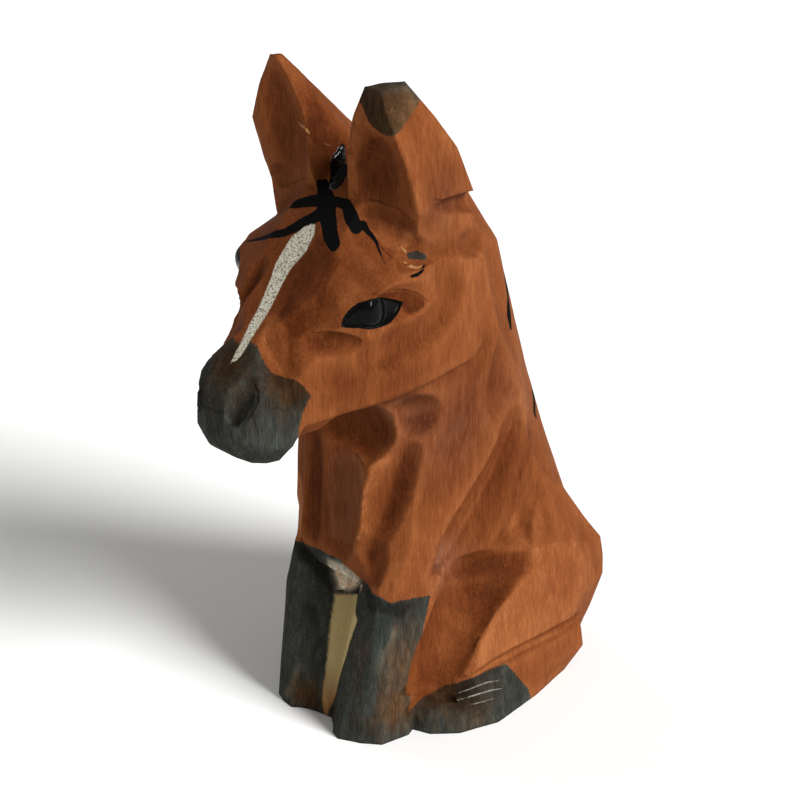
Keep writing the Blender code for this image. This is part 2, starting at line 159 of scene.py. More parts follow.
EYE = (
    (10.4, -18.7, 65.2), (10.5, -18.4, 66.2), (10.8, -17.8, 67.2), (11.3, -17.3, 67.9),
    (11.8, -16.8, 68.4), (12.3, -16.2, 68.7), (12.7, -15.4, 68.9), (12.8, -14.2, 68.7),
    (12.7, -12.3, 67.9), (12.8, -10.2, 66.9), (12.9, -10.7, 66.2), (13.1, -11.6, 65.5),
    (13.2, -12.9, 65.0), (13.3, -14.0, 64.9), (13.1, -15.1, 64.8), (12.7, -16.2, 64.9),
    (11.9, -17.2, 65.1), (11.2, -18.0, 65.1),
)
EYE_SUNK = 0.4
EYEBALL = (12.8, -15.3, 67.0)
EYEBALL_RADIUS = 2.5
EYEBALL_OUTLINE = 2.05

# the grey paint's edge round the muzzle: degrees from the bridge, then y
MUZZLE_AXIS_Z = 55.0
MUZZLE_ABOVE = 40.0
MUZZLE_EDGE_LEFT = (
    (0, -25.9), (6, -25.5), (20, -25.6), (36, -25.8), (50, -25.5), (62, -24.0), (72, -23.0),
    (81, -22.1), (93, -22.9), (112, -23.6), (180, -23.8),
)
MUZZLE_EDGE_RIGHT = (
    (0, -25.9), (12, -26.1), (30, -25.2), (48, -24.0), (80, -23.0), (120, -23.4), (180, -23.8),
)

# the top of the grey stockings by x, and the back of them by z
STOCKING_BELOW = 30.0
STOCKING_TOP = (
    (-11.5, 23.6), (-7.6, 24.6), (-3.5, 25.2), (0.5, 25.1), (4.7, 23.6), (7.8, 23.3), (9.3, 23.2),
    (10.7, 22.3), (11.6, 21.2),
)
STOCKING_BACK = ((0.0, -6.6), (5.7, -6.9), (10.3, -6.3), (17.0, -4.8), (24.0, -3.4))

# the painted toe of a hind foot: its upper edge by y, and where it ends by z
TOE_OUTSIDE, TOE_BELOW = 9.0, 10.0
TOE_TOP = ((-6.5, 3.4), (-4.1, 4.5), (-1.5, 5.9), (1.2, 7.3), (5.0, 7.4), (14.0, 7.3))
TOE_END = ((0.0, 12.0), (2.0, 11.4), (3.9, 9.9), (5.5, 8.9), (7.5, 7.4))

# the left ear's painted tip: its lower edge by x + y + EAR_TIP_SHIFT
EAR_TIP_ABOVE = 86.0
EAR_TIP_SHIFT = 12.0
EAR_TIP = (
    (6.0, 93.0), (6.9, 92.2), (7.7, 91.0), (8.3, 90.1), (9.1, 89.4), (10.5, 88.8), (12.0, 88.7),
    (13.6, 89.3), (14.6, 89.9), (15.6, 90.7), (16.8, 91.8), (19.0, 93.6),
)

SLATE = (((11.4, -7.9, 72.2, 0.4), (11.7, -7.0, 72.1, 0.6), (12.1, -6.1, 71.7, 0.4)),)
NICK = (
    (
        (13.5, -10.1, 70.5, 0.1), (13.5, -9.3, 70.4, 0.24), (13.5, -8.4, 70.4, 0.3),
        (13.4, -7.6, 70.7, 0.24), (12.9, -6.8, 71.1, 0.1),
    ),
)

# left and right edge of the bare strip between the front legs, by z
BARE_STRIP = (
    (0.0, -1.4, -0.8), (2.4, -1.6, -0.2), (5.5, -1.5, 0.5), (8.1, -1.6, 1.4), (10.4, -1.7, 2.5),
    (14.4, -1.9, 4.0), (17.7, -2.1, 4.9), (20.8, -2.4, 4.6),
)
BARE_TOP = 18.0
BARE_IN_FRONT, BARE_BELOW = -3.0, 22.0
SPLINTERS = (
    (
        (-7.5, -9.9, 85.7, 0.03), (-6.9, -10.0, 85.5, 0.12), (-6.3, -10.1, 85.4, 0.2),
        (-5.5, -10.4, 85.5, 0.24), (-4.9, -10.7, 85.4, 0.22), (-4.6, -10.3, 84.9, 0.05),
    ),
    ((-4.4, -8.4, 83.4, 0.02), (-4.3, -7.8, 83.0, 0.07), (-4.3, -6.9, 82.5, 0.02)),
    # torn wood beside the knot
    (
        (11.6, -9.0, 71.6, 0.1), (12.4, -8.6, 71.2, 0.3),
        (13.0, -8.1, 71.0, 0.26), (12.9, -7.2, 71.1, 0.1),
    ),
    ((10.8, -8.9, 73.5, 0.05), (11.0, -8.4, 72.9, 0.14), (11.3, -8.2, 72.5, 0.05)),
    ((12.4, -6.3, 71.7, 0.05), (12.6, -5.4, 71.7, 0.13), (12.7, -4.6, 71.6, 0.04)),
)
SCRATCHES = (
    ((13.3, -0.9, 5.2, 0.02), (14.6, 0.9, 5.9, 0.09), (15.1, 3.6, 6.0, 0.1), (15.5, 5.5, 5.7, 0.03)),
    ((13.6, -2.0, 4.5, 0.02), (14.9, 0.6, 4.9, 0.1), (15.6, 3.9, 4.8, 0.1), (16.0, 5.8, 4.5, 0.03)),
    ((14.8, -0.9, 3.9, 0.02), (15.6, 1.9, 3.7, 0.07), (16.1, 4.2, 3.6, 0.02)),
)

# soft-edged places where the stain differs, and painted light and shade on faces turned one way:
# centre, radius, facing, change of tone
STAIN_AND_SHADE_TINTS = (
    ((0.0, -18.0, 69.0), 9.0, (0.0, -0.8, 0.6), -0.24),
    ((9.4, -12.1, 72.9), 4.0, (0.5, -0.6, 0.6), -0.12),
    ((9.7, -18.2, 62.5), 3.0, (0.9, -0.4, 0.0), 0.07),
    ((10.2, -17.2, 68.8), 1.8, (0.6, -0.6, 0.5), 0.14),
    ((13.0, -11.3, 64.2), 1.8, (0.95, -0.3, 0.0), -0.2),
    ((4.6, -16.9, 71.2), 1.4, (0.2, -0.8, 0.6), 0.08),
    ((11.8, -6.2, 37.5), 4.5, (0.9, -0.4, 0.0), -0.1),
    ((-9.0, -9.5, 84.0), 8.0, (-0.1, -1.0, -0.1), -0.1),
    # painted shade in the hollow of the far ear
    ((-5.7, -9.2, 87.0), 5.0, (0.92, 0.05, 0.38), -0.36),
    ((-4.0, -7.0, 82.0), 3.6, (1.0, 0.0, 0.3), -0.2),
    ((12.3, -3.5, 79.0), 4.0, (0.98, 0.15, 0.0), -0.2),
    ((10.7, 13.5, 48.0), 6.0, (0.85, 0.44, 0.29), 0.1),
    ((9.6, -19.8, 60.7), 4.0, (0.9, -0.43, 0.0), -0.07),
    ((12.0, -0.5, 45.5), 6.0, (1.0, 0.0, 0.0), -0.26),
    ((13.2, -12.0, 56.0), 5.0, (1.0, -0.1, 0.0), -0.3),
    ((11.6, 7.0, 51.5), 6.0, (1.0, 0.2, 0.0), -0.18),
    ((11.7, 12.9, 34.8), 5.0, (1.0, 0.0, 0.0), -0.14),
    ((10.8, 6.5, 19.0), 4.5, (0.7, -0.3, 0.6), -0.36),
    ((12.8, 5.0, 13.0), 6.0, (0.8, -0.5, 0.2), 0.14),
    ((8.9, 0.3, 24.3), 3.0, (1.0, -0.2, 0.0), 0.2),
    # painted shade on the chest's front, turned from the light
    ((-2.0, -10.5, 36.0), 12.0, (0.0, -1.0, 0.0), -0.14),
    ((11.0, 5.0, 66.0), 8.0, (1.0, 0.2, 0.1), 0.08),
    ((14.0, 8.0, 20.0), 8.0, (0.9, 0.3, 0.3), 0.06),
)

# painted sheen, where the stain is made milky: centre, radius, how much
PAINTED_SHEEN = (
    ((8.9, 0.3, 24.3), 3.5, 1.6),
    ((9.0, -7.2, 50.4), 3.5, 1.0),
    ((12.0, -0.9, 45.6), 6.0, 0.9),
    ((10.7, 13.5, 48.0), 6.0, 0.6),
    ((11.6, -2.8, 77.8), 5.0, 0.6),
)
DULL_FACET = (
    (-1.7, -10.6, 40.4), (0.9, -10.0, 41.4), (4.5, -9.9, 42.1), (6.2, -10.6, 40.7), (4.9, -10.8, 36.0),
    (2.7, -10.2, 30.4), (1.9, -10.3, 27.9), (-1.6, -10.5, 27.6), (-2.1, -10.4, 33.2),
)

# the same for the paint, with painted light and shade on the ear tip: centre, radius, browner by,
# lighter by (in halvings or doublings)
PAINT_AND_LIGHT_TINTS = (
    # the near ear's painted tip: painted shade on its front facet, painted light on its side facet
    ((8.6, -12.0, 91.0), 3.2, 1.8, -0.7),
    ((12.4, -8.5, 91.5), 3.5, 1.1, 1.2),
    ((-0.5, -28.1, 59.4), 4.0, 0.9, -0.4),
    ((6.9, -26.0, 52.1), 2.6, 0.0, 0.4),
    ((4.4, -30.4, 52.1), 3.0, 0.0, 0.25),
    ((-5.5, -13.0, 10.6), 4.0, 0.0, 0.25),
    ((6.9, -24.2, 57.9), 3.0, 1.4, -0.4),
    ((10.6, -8.5, 12.0), 5.5, 0.7, 0.8),
    ((10.3, -9.0, 4.5), 4.0, 0.8, 0.7),
    ((-4.0, -13.0, 2.2), 3.0, 1.0, 0.2),
    ((12.3, -2.0, 5.0), 2.4, 0.9, 0.1),
    ((14.6, 0.0, 5.2), 2.6, 0.2, -1.4),
    ((15.4, 0.6, 2.0), 3.6, 0.5, 0.4),
    ((15.0, 3.5, 6.4), 2.6, 0.1, 0.1),
)

# pale thin paint on the ledge above the cleft, with painted light that is strongest low down, where
# the lip shades it
LEDGE_PALE_AND_LIT = (
    (-2.3, -10.7, 24.3), (1.5, -10.8, 25.0), (4.4, -10.7, 24.6), (4.3, -10.3, 23.3), (3.2, -9.4, 20.6),
    (-0.7, -7.7, 18.3), (-2.0, -8.8, 18.5), (-2.6, -9.0, 19.9), (-3.3, -9.1, 21.6),
)

# brush strokes in the paint, and painted shade in the nostril and at the top of the stockings:
# stations with half widths, browner by, lighter by
BRUSH_AND_SHADE_MARKS = (
    # nostril: a lighter stroke, then painted shade along the rear wall of its cut
    (((3.0, -29.6, 57.6, 1.1), (2.6, -29.9, 56.4, 1.0), (3.0, -30.0, 55.4, 0.7)), 0.0, 0.4),
    (
        (
            (4.7, -28.3, 58.0, 0.3), (5.1, -28.7, 56.8, 0.5), (4.8, -29.2, 55.5, 0.8),
            (4.2, -29.8, 54.4, 0.9), (3.6, -30.3, 53.3, 0.5),
        ),
        0.0, -0.8,
    ),
    # dark strokes at the top of the stockings, partly painted shade under the chest
    (
        (
            (-9.3, -10.5, 23.9, 0.8), (-7.4, -11.0, 23.2, 1.0), (-5.6, -10.4, 22.4, 0.9),
            (-4.1, -9.9, 20.9, 0.8), (-2.9, -9.5, 19.4, 0.6),
        ),
        0.0, -1.2,
    ),
    (
        (
            (6.6, -11.2, 22.6, 0.9), (8.0, -11.5, 21.8, 1.3), (9.8, -11.0, 21.6, 1.0),
            (10.7, -8.8, 20.6, 1.0), (10.8, -7.6, 20.9, 0.5),
        ),
        0.0, -1.1,
    ),
    # bluish band down the foal's left leg, with a pale scrape across it
    (
        (
            (9.9, -11.1, 19.4, 0.8), (9.6, -11.7, 15.2, 1.1), (8.9, -12.4, 10.4, 1.1),
            (8.4, -12.8, 5.4, 0.8),
        ),
        -0.4, -0.2,
    ),
    (((10.6, -9.6, 18.0, 0.25), (10.2, -11.1, 15.0, 0.4), (9.5, -11.9, 11.7, 0.2)), 0.3, 1.1),
    # pale streak at the foot of the other leg
    (((-5.0, -13.5, 7.1, 0.3), (-6.0, -14.2, 4.0, 0.6), (-7.3, -14.3, 1.1, 0.5)), 0.2, 1.1),
    (((-4.7, -11.7, 15.3, 1.2), (-3.6, -11.8, 11.0, 1.2), (-3.4, -12.3, 9.0, 0.5)), 0.0, -0.6),
)

# crisp-edged cuts whose stain differs, and painted light and shade on single facets: outline, depth
# reached, change of tone
CUT_STAIN_AND_SHADE = (
    # upper eyelid, with painted shade in the socket behind the eye
    (
        (
            (12.6, -15.1, 69.3), (12.9, -12.9, 69.1), (12.8, -10.1, 68.5), (12.9, -8.1, 67.4),
            (13.1, -6.9, 66.3), (13.2, -7.0, 65.6), (13.3, -8.5, 65.1), (13.0, -9.8, 65.2),
            (12.4, -10.6, 66.6), (12.3, -12.3, 67.6),
        ),
        1.6, -0.38,
    ),
    # plane in front of the brow
    (
        (
            (6.7, -15.4, 72.4), (6.8, -16.8, 70.7), (6.8, -17.9, 69.4), (8.6, -17.8, 68.6),
            (9.1, -18.3, 67.2), (8.3, -18.9, 66.6), (6.9, -19.3, 67.1), (5.7, -18.9, 68.5),
            (5.1, -17.4, 70.4), (5.4, -15.9, 72.2),
        ),
        1.4, -0.11,
    ),
    # first cut under the jaw
    (
        (
            (-2.6, -9.6, 46.6), (1.4, -8.4, 48.6), (6.0, -7.6, 49.4), (8.9, -7.9, 50.4),
            (8.6, -8.0, 47.6), (7.9, -8.0, 45.0), (6.2, -8.7, 43.5), (4.1, -9.6, 42.5),
            (1.0, -10.0, 42.1), (-1.5, -10.3, 43.7),
        ),
        2.6, -0.05,
    ),
    # lower edge of the second cut under the jaw
    (
        (
            (8.9, -6.8, 48.2), (11.2, -3.2, 48.8), (11.6, -2.8, 47.8), (11.4, -3.7, 46.6),
            (10.8, -5.3, 45.8), (9.8, -6.9, 45.4),
        ),
        2.4, -0.1,
    ),
    # planes beside the blaze and on the side of the nose
    (
        (
            (1.7, -14.6, 73.8), (4.3, -14.9, 73.5), (7.1, -15.4, 72.0), (6.9, -16.6, 71.0),
            (6.7, -17.7, 69.6), (7.5, -18.9, 67.4), (7.5, -20.2, 65.1), (6.2, -21.8, 63.8),
            (4.3, -23.5, 62.4), (2.6, -24.7, 62.2), (2.3, -21.7, 65.8), (1.3, -18.1, 69.5),
            (1.3, -16.0, 72.1),
        ),
        2.4, -0.13,
    ),
    (
        (
            (0.6, -22.6, 65.0), (2.4, -22.1, 65.4), (4.4, -22.5, 64.3), (5.0, -22.9, 62.9),
            (5.4, -23.4, 61.3), (6.0, -24.0, 59.5), (5.6, -24.6, 59.0), (3.9, -25.2, 60.5),
            (2.6, -25.0, 62.0), (1.8, -24.6, 63.1), (1.2, -23.4, 64.2),
        ),
        1.6, 0.2,
    ),
    (
        (
            (2.8, -20.4, 67.0), (5.5, -20.5, 66.5), (6.8, -21.3, 63.9), (7.2, -22.4, 61.6),
            (8.0, -23.1, 59.0), (8.0, -23.1, 58.5), (7.2, -23.7, 58.5), (6.2, -23.9, 59.5),
            (5.6, -23.3, 61.4), (5.1, -22.8, 63.0), (4.4, -22.5, 64.3), (2.4, -22.1, 65.4),
        ),
        1.6, -0.13,
    ),
    # brow above the inner corner of the eye, and the lighter facet over it
    (
        (
            (6.8, -15.1, 72.6), (6.9, -16.6, 71.0), (6.6, -18.0, 69.3), (8.4, -17.6, 69.0),
            (9.2, -18.0, 67.7), (9.9, -18.3, 66.4), (10.4, -17.8, 67.2), (11.5, -16.7, 68.6),
            (11.7, -15.9, 69.2), (12.5, -14.9, 69.4), (11.3, -14.2, 70.5), (9.8, -14.1, 71.7),
            (8.1, -14.3, 72.6),
        ),
        2.2, 0.05,
    ),
    (
        (
            (5.6, -11.0, 76.6), (6.7, -9.9, 76.4), (8.2, -9.2, 76.1), (9.4, -8.6, 75.7),
            (10.7, -8.2, 75.4), (11.8, -7.8, 74.8), (11.1, -7.9, 73.3), (10.8, -8.9, 73.0),
            (10.3, -9.9, 73.1), (9.2, -10.5, 73.7), (8.2, -11.0, 74.4), (6.7, -11.3, 75.4),
        ),
        1.8, 0.22,
    ),
    # scoop below the eye: painted shadow under its upper edge, fainter lower down
    (
        (
            (6.8, -21.3, 63.9), (7.5, -20.3, 63.7), (8.9, -19.3, 64.2), (9.9, -18.3, 64.0),
            (11.2, -17.5, 63.8), (12.0, -16.8, 63.4), (11.9, -16.5, 62.1), (11.7, -16.9, 62.5),
            (10.1, -17.8, 62.8), (8.7, -19.0, 63.0), (7.6, -20.3, 62.7), (6.8, -21.3, 63.0),
        ),
        1.6, -0.1,
    ),
    (
        (
            (6.8, -21.3, 63.9), (7.5, -20.3, 63.7), (8.9, -19.3, 64.2), (9.9, -18.3, 64.0),
            (11.2, -17.5, 63.8), (12.0, -16.8, 63.4), (12.0, -16.2, 61.5), (11.7, -16.6, 61.0),
            (10.5, -18.2, 61.7), (9.1, -19.3, 61.8), (7.9, -20.7, 61.8), (7.1, -21.6, 62.1),
        ),
        1.6, -0.05,
    ),
    # flank between the front leg and the thigh
    (
        (
            (11.5, -3.2, 22.0), (9.8, 0.4, 23.6), (9.3, 5.0, 23.4), (10.4, 9.4, 22.6),
            (11.7, 11.7, 22.4), (13.0, 14.0, 22.4), (13.4, 12.5, 19.6), (14.1, 8.7, 17.5),
            (14.0, 5.2, 15.2), (14.4, 2.5, 11.7), (14.7, 1.2, 8.5), (12.4, -1.0, 5.6),
            (10.2, -5.4, 3.8), (9.2, -4.0, 10.1), (11.2, -4.8, 18.0),
        ),
        3.4, -0.08,
    ),
    # long facet above it, behind the ridge from the neck
    (
        (
            (11.3, 11.6, 42.5), (11.8, 12.6, 43.0), (11.9, 15.8, 39.2), (11.7, 14.8, 36.0),
            (11.7, 12.7, 33.0), (11.4, 12.2, 28.7), (11.0, 10.7, 25.3), (10.7, 8.3, 23.9),
            (10.1, 5.0, 24.3), (9.3, 0.4, 23.8), (9.4, 2.9, 27.2), (9.8, 5.2, 30.6), (10.4, 8.3, 35.3),
        ),
        2.4, -0.13,
    ),
    # front of the near ear, with painted shade on the face turned from the light
    (
        (
            (12.1, -11.5, 88.8), (13.0, -10.7, 86.6), (13.3, -8.9, 83.2), (13.2, -8.3, 80.9),
            (11.4, -7.8, 76.9), (9.6, -8.8, 78.5), (6.8, -9.3, 78.9), (4.7, -10.4, 79.0),
            (4.9, -11.1, 83.6), (6.0, -10.9, 86.0), (8.3, -11.0, 87.8),
        ),
        3.6, -0.2,
    ),
    # flat down the far side of the chest
    (
        (
            (-5.4, -10.8, 42.7), (-1.4, -10.8, 42.2), (-1.7, -10.3, 36.4), (-2.0, -10.5, 28.6),
            (-3.8, -10.7, 26.4), (-6.5, -11.0, 25.8), (-6.6, -10.0, 30.8),
        ),
        1.6, -0.12,
    ),
    # narrow facet at the chest's far edge, with painted light on it
    (
        (
            (-9.6, -9.2, 34.6), (-8.3, -9.6, 33.3), (-7.4, -10.7, 30.1), (-7.6, -11.0, 26.2),
            (-8.9, -10.5, 24.3), (-9.6, -9.4, 26.8), (-9.8, -9.2, 31.1),
        ),
        1.4, 0.36,
    ),
    # flute down the side of the chest: painted light on its lit wall, then painted shade on its shaded
    # one
    (
        (
            (6.9, -9.2, 43.0), (9.3, -7.4, 43.2), (8.7, -7.9, 40.8), (8.1, -8.8, 36.4),
            (7.4, -9.8, 33.0), (6.6, -10.6, 30.5), (5.5, -11.0, 27.2), (3.0, -10.8, 28.0),
            (2.6, -10.6, 29.0), (3.2, -10.4, 32.0), (4.9, -10.8, 36.0), (6.8, -10.6, 40.8),
        ),
        2.0, 0.14,
    ),
    (
        (
            (10.0, -6.7, 45.2), (11.3, -5.4, 45.2), (11.5, -6.3, 42.2), (10.9, -7.6, 37.1),
            (10.1, -8.7, 33.6), (9.3, -9.7, 30.6), (6.9, -10.3, 27.4), (6.2, -10.5, 27.2),
            (6.9, -10.4, 30.6), (7.7, -9.7, 33.0), (8.4, -8.7, 36.5), (8.9, -7.7, 40.8),
            (9.5, -7.2, 43.5),
        ),
        2.4, -0.14,
    ),
    # facets of the thigh, lightened, partly with painted light
    (
        (
            (12.9, 14.1, 22.6), (13.6, 19.4, 22.2), (14.2, 26.0, 19.4), (14.4, 28.0, 14.0),
            (14.4, 27.0, 9.0), (13.8, 17.4, 8.3), (14.4, 8.6, 8.8), (14.7, 1.6, 8.7),
            (14.4, 2.5, 11.7), (14.0, 5.2, 15.2), (14.1, 8.7, 17.5), (13.4, 12.5, 19.6),
        ),
        2.4, 0.1,
    ),
    (((11.0, 10.7, 25.3), (11.4, 12.2, 28.7), (12.9, 14.1, 22.8)), 1.4, 0.14),
)

# the same along curved cuts, and painted highlights along ridges: stations with half widths, change of
# tone
STROKE_TONES_AND_HIGHLIGHTS = (
    # band round the cheek
    (
        (
            (12.6, -0.9, 69.4, 0.6), (12.6, -0.7, 67.0, 1.1), (12.5, -1.2, 64.6, 1.3),
            (12.6, -3.0, 62.1, 1.4), (12.9, -6.6, 60.2, 1.4), (13.2, -11.0, 59.3, 1.3),
            (12.4, -15.6, 58.6, 1.1), (11.0, -18.0, 57.6, 0.6),
        ),
        -0.06,
    ),
    # painted highlights along ridges
    (
        (
            (11.3, 11.6, 42.5, 0.15), (10.4, 8.3, 35.3, 0.3), (9.8, 5.2, 30.6, 0.35),
            (9.4, 2.9, 27.2, 0.35), (9.6, 0.4, 23.8, 0.3), (11.2, -3.0, 20.0, 0.3),
            (10.8, -3.8, 12.0, 0.2),
        ),
        0.16,
    ),
    (
        (
            (14.1, 1.2, 7.1, 0.2), (14.3, 4.0, 7.8, 0.45), (14.4, 8.0, 8.0, 0.45),
            (14.3, 12.0, 8.0, 0.4), (14.0, 19.8, 7.4, 0.3), (12.6, 26.0, 7.0, 0.1),
        ),
        0.3,
    ),
)

# ---------------------------------------------------------------- fine cuts, mm

# stations are x, y, z, half width and depth
CUTS = (
    # lips, from the far side round under the nostril and back
    (
        (-5.2, -29.4, 55.0, 0.4, 0.25), (-1.5, -31.2, 54.3, 0.3, 0.2), (2.0, -31.2, 54.6, 0.3, 0.15),
    ),
    ((5.6, -28.2, 55.9, 0.2, 0.1), (6.8, -26.3, 55.1, 0.25, 0.2), (7.2, -24.4, 54.0, 0.15, 0.0)),
    # rear edge of the nostril
    (
        (4.2, -28.1, 58.5, 0.1, 0.05), (5.2, -28.3, 57.8, 0.25, 0.25), (5.6, -28.6, 56.6, 0.3, 0.35),
        (5.4, -29.2, 55.4, 0.3, 0.35), (4.9, -29.8, 54.1, 0.3, 0.3), (4.4, -30.4, 52.9, 0.15, 0.1),
    ),
    # upper edge of the scoop below the eye
    (
        (6.8, -21.3, 64.2, 0.1, 0.05), (7.6, -20.4, 64.1, 0.18, 0.2), (8.9, -19.3, 64.2, 0.2, 0.25),
        (9.9, -18.3, 64.0, 0.2, 0.25), (11.2, -17.5, 63.8, 0.18, 0.2), (12.0, -16.8, 63.4, 0.1, 0.05),
    ),
    # crease of the upper eyelid
    (
        (12.4, -15.0, 69.2, 0.1, 0.05), (12.9, -13.0, 69.3, 0.18, 0.2), (12.8, -10.1, 68.5, 0.2, 0.25),
        (12.9, -7.8, 67.3, 0.2, 0.25), (13.1, -6.6, 66.2, 0.18, 0.2), (13.3, -8.2, 65.1, 0.1, 0.05),
    ),
    # stop cuts round the foot of each ear
    (
        (4.0, -10.8, 79.0, 0.2, 0.15), (5.7, -9.8, 78.7, 0.22, 0.3), (7.3, -9.2, 78.7, 0.22, 0.3),
        (9.0, -8.9, 78.4, 0.22, 0.3), (10.0, -8.5, 77.7, 0.2, 0.25), (11.0, -8.0, 76.3, 0.12, 0.1),
    ),
    (
        (-13.2, -9.3, 74.5, 0.15, 0.15), (-11.6, -9.3, 75.7, 0.2, 0.25), (-9.6, -9.3, 76.8, 0.2, 0.25),
        (-7.1, -9.8, 78.1, 0.18, 0.2), (-4.1, -10.9, 79.1, 0.12, 0.1),
    ),
    ((13.0, -6.2, 79.9, 0.12, 0.1), (12.9, -4.4, 79.0, 0.25, 0.3), (12.2, -2.0, 78.6, 0.12, 0.1)),
    # cracks beside the knot
    ((12.7, -4.4, 71.2, 0.1, 0.1), (12.8, -4.6, 69.4, 0.16, 0.3), (12.7, -4.4, 66.9, 0.06, 0.1)),
    (
        (8.1, -11.0, 74.1, 0.1, 0.1), (9.4, -10.8, 73.3, 0.15, 0.25), (10.6, -10.5, 72.5, 0.18, 0.3),
        (11.5, -9.9, 71.6, 0.18, 0.3), (12.0, -8.7, 71.4, 0.2, 0.3),
    ),
    # ridge of the painted ear tip
    (
        (10.2, -11.4, 93.9, 0.1, 0.05), (10.9, -11.7, 93.2, 0.14, 0.15),
        (11.6, -11.6, 91.6, 0.14, 0.15), (11.8, -11.6, 89.3, 0.1, 0.1),
    ),
    # split in the ledge above the front legs
    ((-2.4, -9.1, 18.5, 0.12, 0.2), (-1.5, -8.5, 18.5, 0.22, 0.4), (-0.4, -7.9, 18.3, 0.1, 0.2)),
)


# ---------------------------------------------------------------- distances on the carving


def stroke_field(points, strokes):
    """Signed distance from each point to the nearest stroke's edge; negative is inside."""
    best = np.full(len(points), FAR)
    for stroke in strokes:
        rows = np.array(stroke, float)
        for a, b in zip(rows, rows[1:]):
            run = b[:3] - a[:3]
            t = np.clip(((points - a[:3]) @ run) / (run @ run), 0.0, 1.0)
            gap = np.linalg.norm(points - a[:3] - t[:, None] * run, axis=1)
            best = np.minimum(best, gap - (a[3] + t * (b[3] - a[3])))
    return best


def patch_field(points, outline, thickness=2.5):
    """Signed distance to an outlined patch, measured in the outline's own plane."""
    ring = np.array(outline, float)
    centre = ring.mean(axis=0)
    normal = np.cross(ring - centre, np.roll(ring, -1, axis=0) - centre).sum(axis=0)
    normal /= np.linalg.norm(normal)
    across = np.cross(normal, (0.0, 0.0, 1.0))
    across /= np.linalg.norm(across)
    axes = np.stack((across, np.cross(normal, across)), axis=1)
    flat, corners = (points - centre) @ axes, (ring - centre) @ axes
    gap = np.full(len(points), FAR)
    inside = np.zeros(len(points), bool)
    for a, b in zip(corners, np.roll(corners, -1, axis=0)):
        run = b - a
        t = np.clip(((flat - a) @ run) / (run @ run), 0.0, 1.0)
        gap = np.minimum(gap, np.linalg.norm(flat - a - t[:, None] * run, axis=1))
        crosses = (a[1] > flat[:, 1]) != (b[1] > flat[:, 1])
        rise = run[1] if run[1] else 1e-9
        inside ^= crosses & (flat[:, 0] < a[0] + (flat[:, 1] - a[1]) / rise * run[0])
    signed = np.where(inside, -gap, gap)
    return np.where(np.abs((points - centre) @ normal) < thickness, signed, FAR)


def plane_of(outline):
    """Centre and outward normal of an outline on the foal's left."""
    ring = np.array(outline, float)
    centre = ring.mean(axis=0)
    normal = np.cross(ring - centre, np.roll(ring, -1, axis=0) - centre).sum(axis=0)
    normal /= np.linalg.norm(normal)
    return centre, normal * np.sign(normal[0])


def lookup(values, table, column=1):
    rows = np.array(table, float)
    return np.interp(values, rows[:, 0], rows[:, column])


def muzzle_field(points):
    x, y, z = points.T
    angle = np.degrees(np.arctan2(np.abs(x), z - MUZZLE_AXIS_Z))
    edge = np.where(x > 0, lookup(angle, MUZZLE_EDGE_LEFT), lookup(angle, MUZZLE_EDGE_RIGHT))
    return np.where(z > MUZZLE_ABOVE, y - edge, FAR)


def stocking_field(points):
    x, y, z = points.T
    field = np.maximum(z - lookup(x, STOCKING_TOP), y - lookup(z, STOCKING_BACK))
    return np.where(z < STOCKING_BELOW, field, FAR)


def toe_field(points):
    x, y, z = points.T
    field = np.maximum(z - lookup(y, TOE_TOP), y - lookup(z, TOE_END))
    return np.where((np.abs(x) > TOE_OUTSIDE) & (z < TOE_BELOW), field, FAR)


def ear_tip_field(points):
    x, y, z = points.T
    edge = lookup(x + y + EAR_TIP_SHIFT, EAR_TIP)
    return np.where((x > 0) & (z > EAR_TIP_ABOVE), edge - z, FAR)


def bare_field(points):
    x, y, z = points.T
    left, right = lookup(z, BARE_STRIP), lookup(z, BARE_STRIP, 2)
    strip = np.maximum(np.maximum(left - x, x - right), z - BARE_TOP)
    return np.where((y < BARE_IN_FRONT) & (z < BARE_BELOW), strip, FAR)


def left_side(points):
    """The points with those on the foal's right mirrored to its left."""
    return np.column_stack((np.abs(points[:, 0]), points[:, 1:]))


def eye_field(points):
    return patch_field(left_side(points), EYE)


def on_back(stroke):
    """The stroke's stations with their y read off the back of the carving."""
    return [(x, lookup(z, BACK) - lookup(abs(x), BACK_FALL), z, half) for x, z, half in stroke]


def black_field(points):
    strokes = FORELOCK + (FORELOCK_RISE,) + NICK + TAIL + tuple(on_back(lock) for lock in MANE)
    return np.minimum(stroke_field(points, strokes), eye_field(points))


def cut_field(points):
    return stroke_field(points, [[station[:4] for station in cut] for cut in CUTS])


def grey_field(points):
    fields = (muzzle_field, stocking_field, toe_field, ear_tip_field)
    grey = np.minimum.reduce([field(points) for field in fields])
    grey = np.minimum(grey, stroke_field(points, SLATE))
    return np.maximum(grey, -bare_field(points) - 0.1)


# ---------------------------------------------------------------- carved surface


def mesh_arrays(mesh):
    points = np.empty(len(mesh.vertices) * 3)
    mesh.vertices.foreach_get("co", points)
    mesh.calc_loop_triangles()
    corners = np.empty(len(mesh.loop_triangles) * 3, np.int32)
    mesh.loop_triangles.foreach_get("vertices", corners)
    return points.reshape(-1, 3) / MM, corners.reshape(-1, 3)


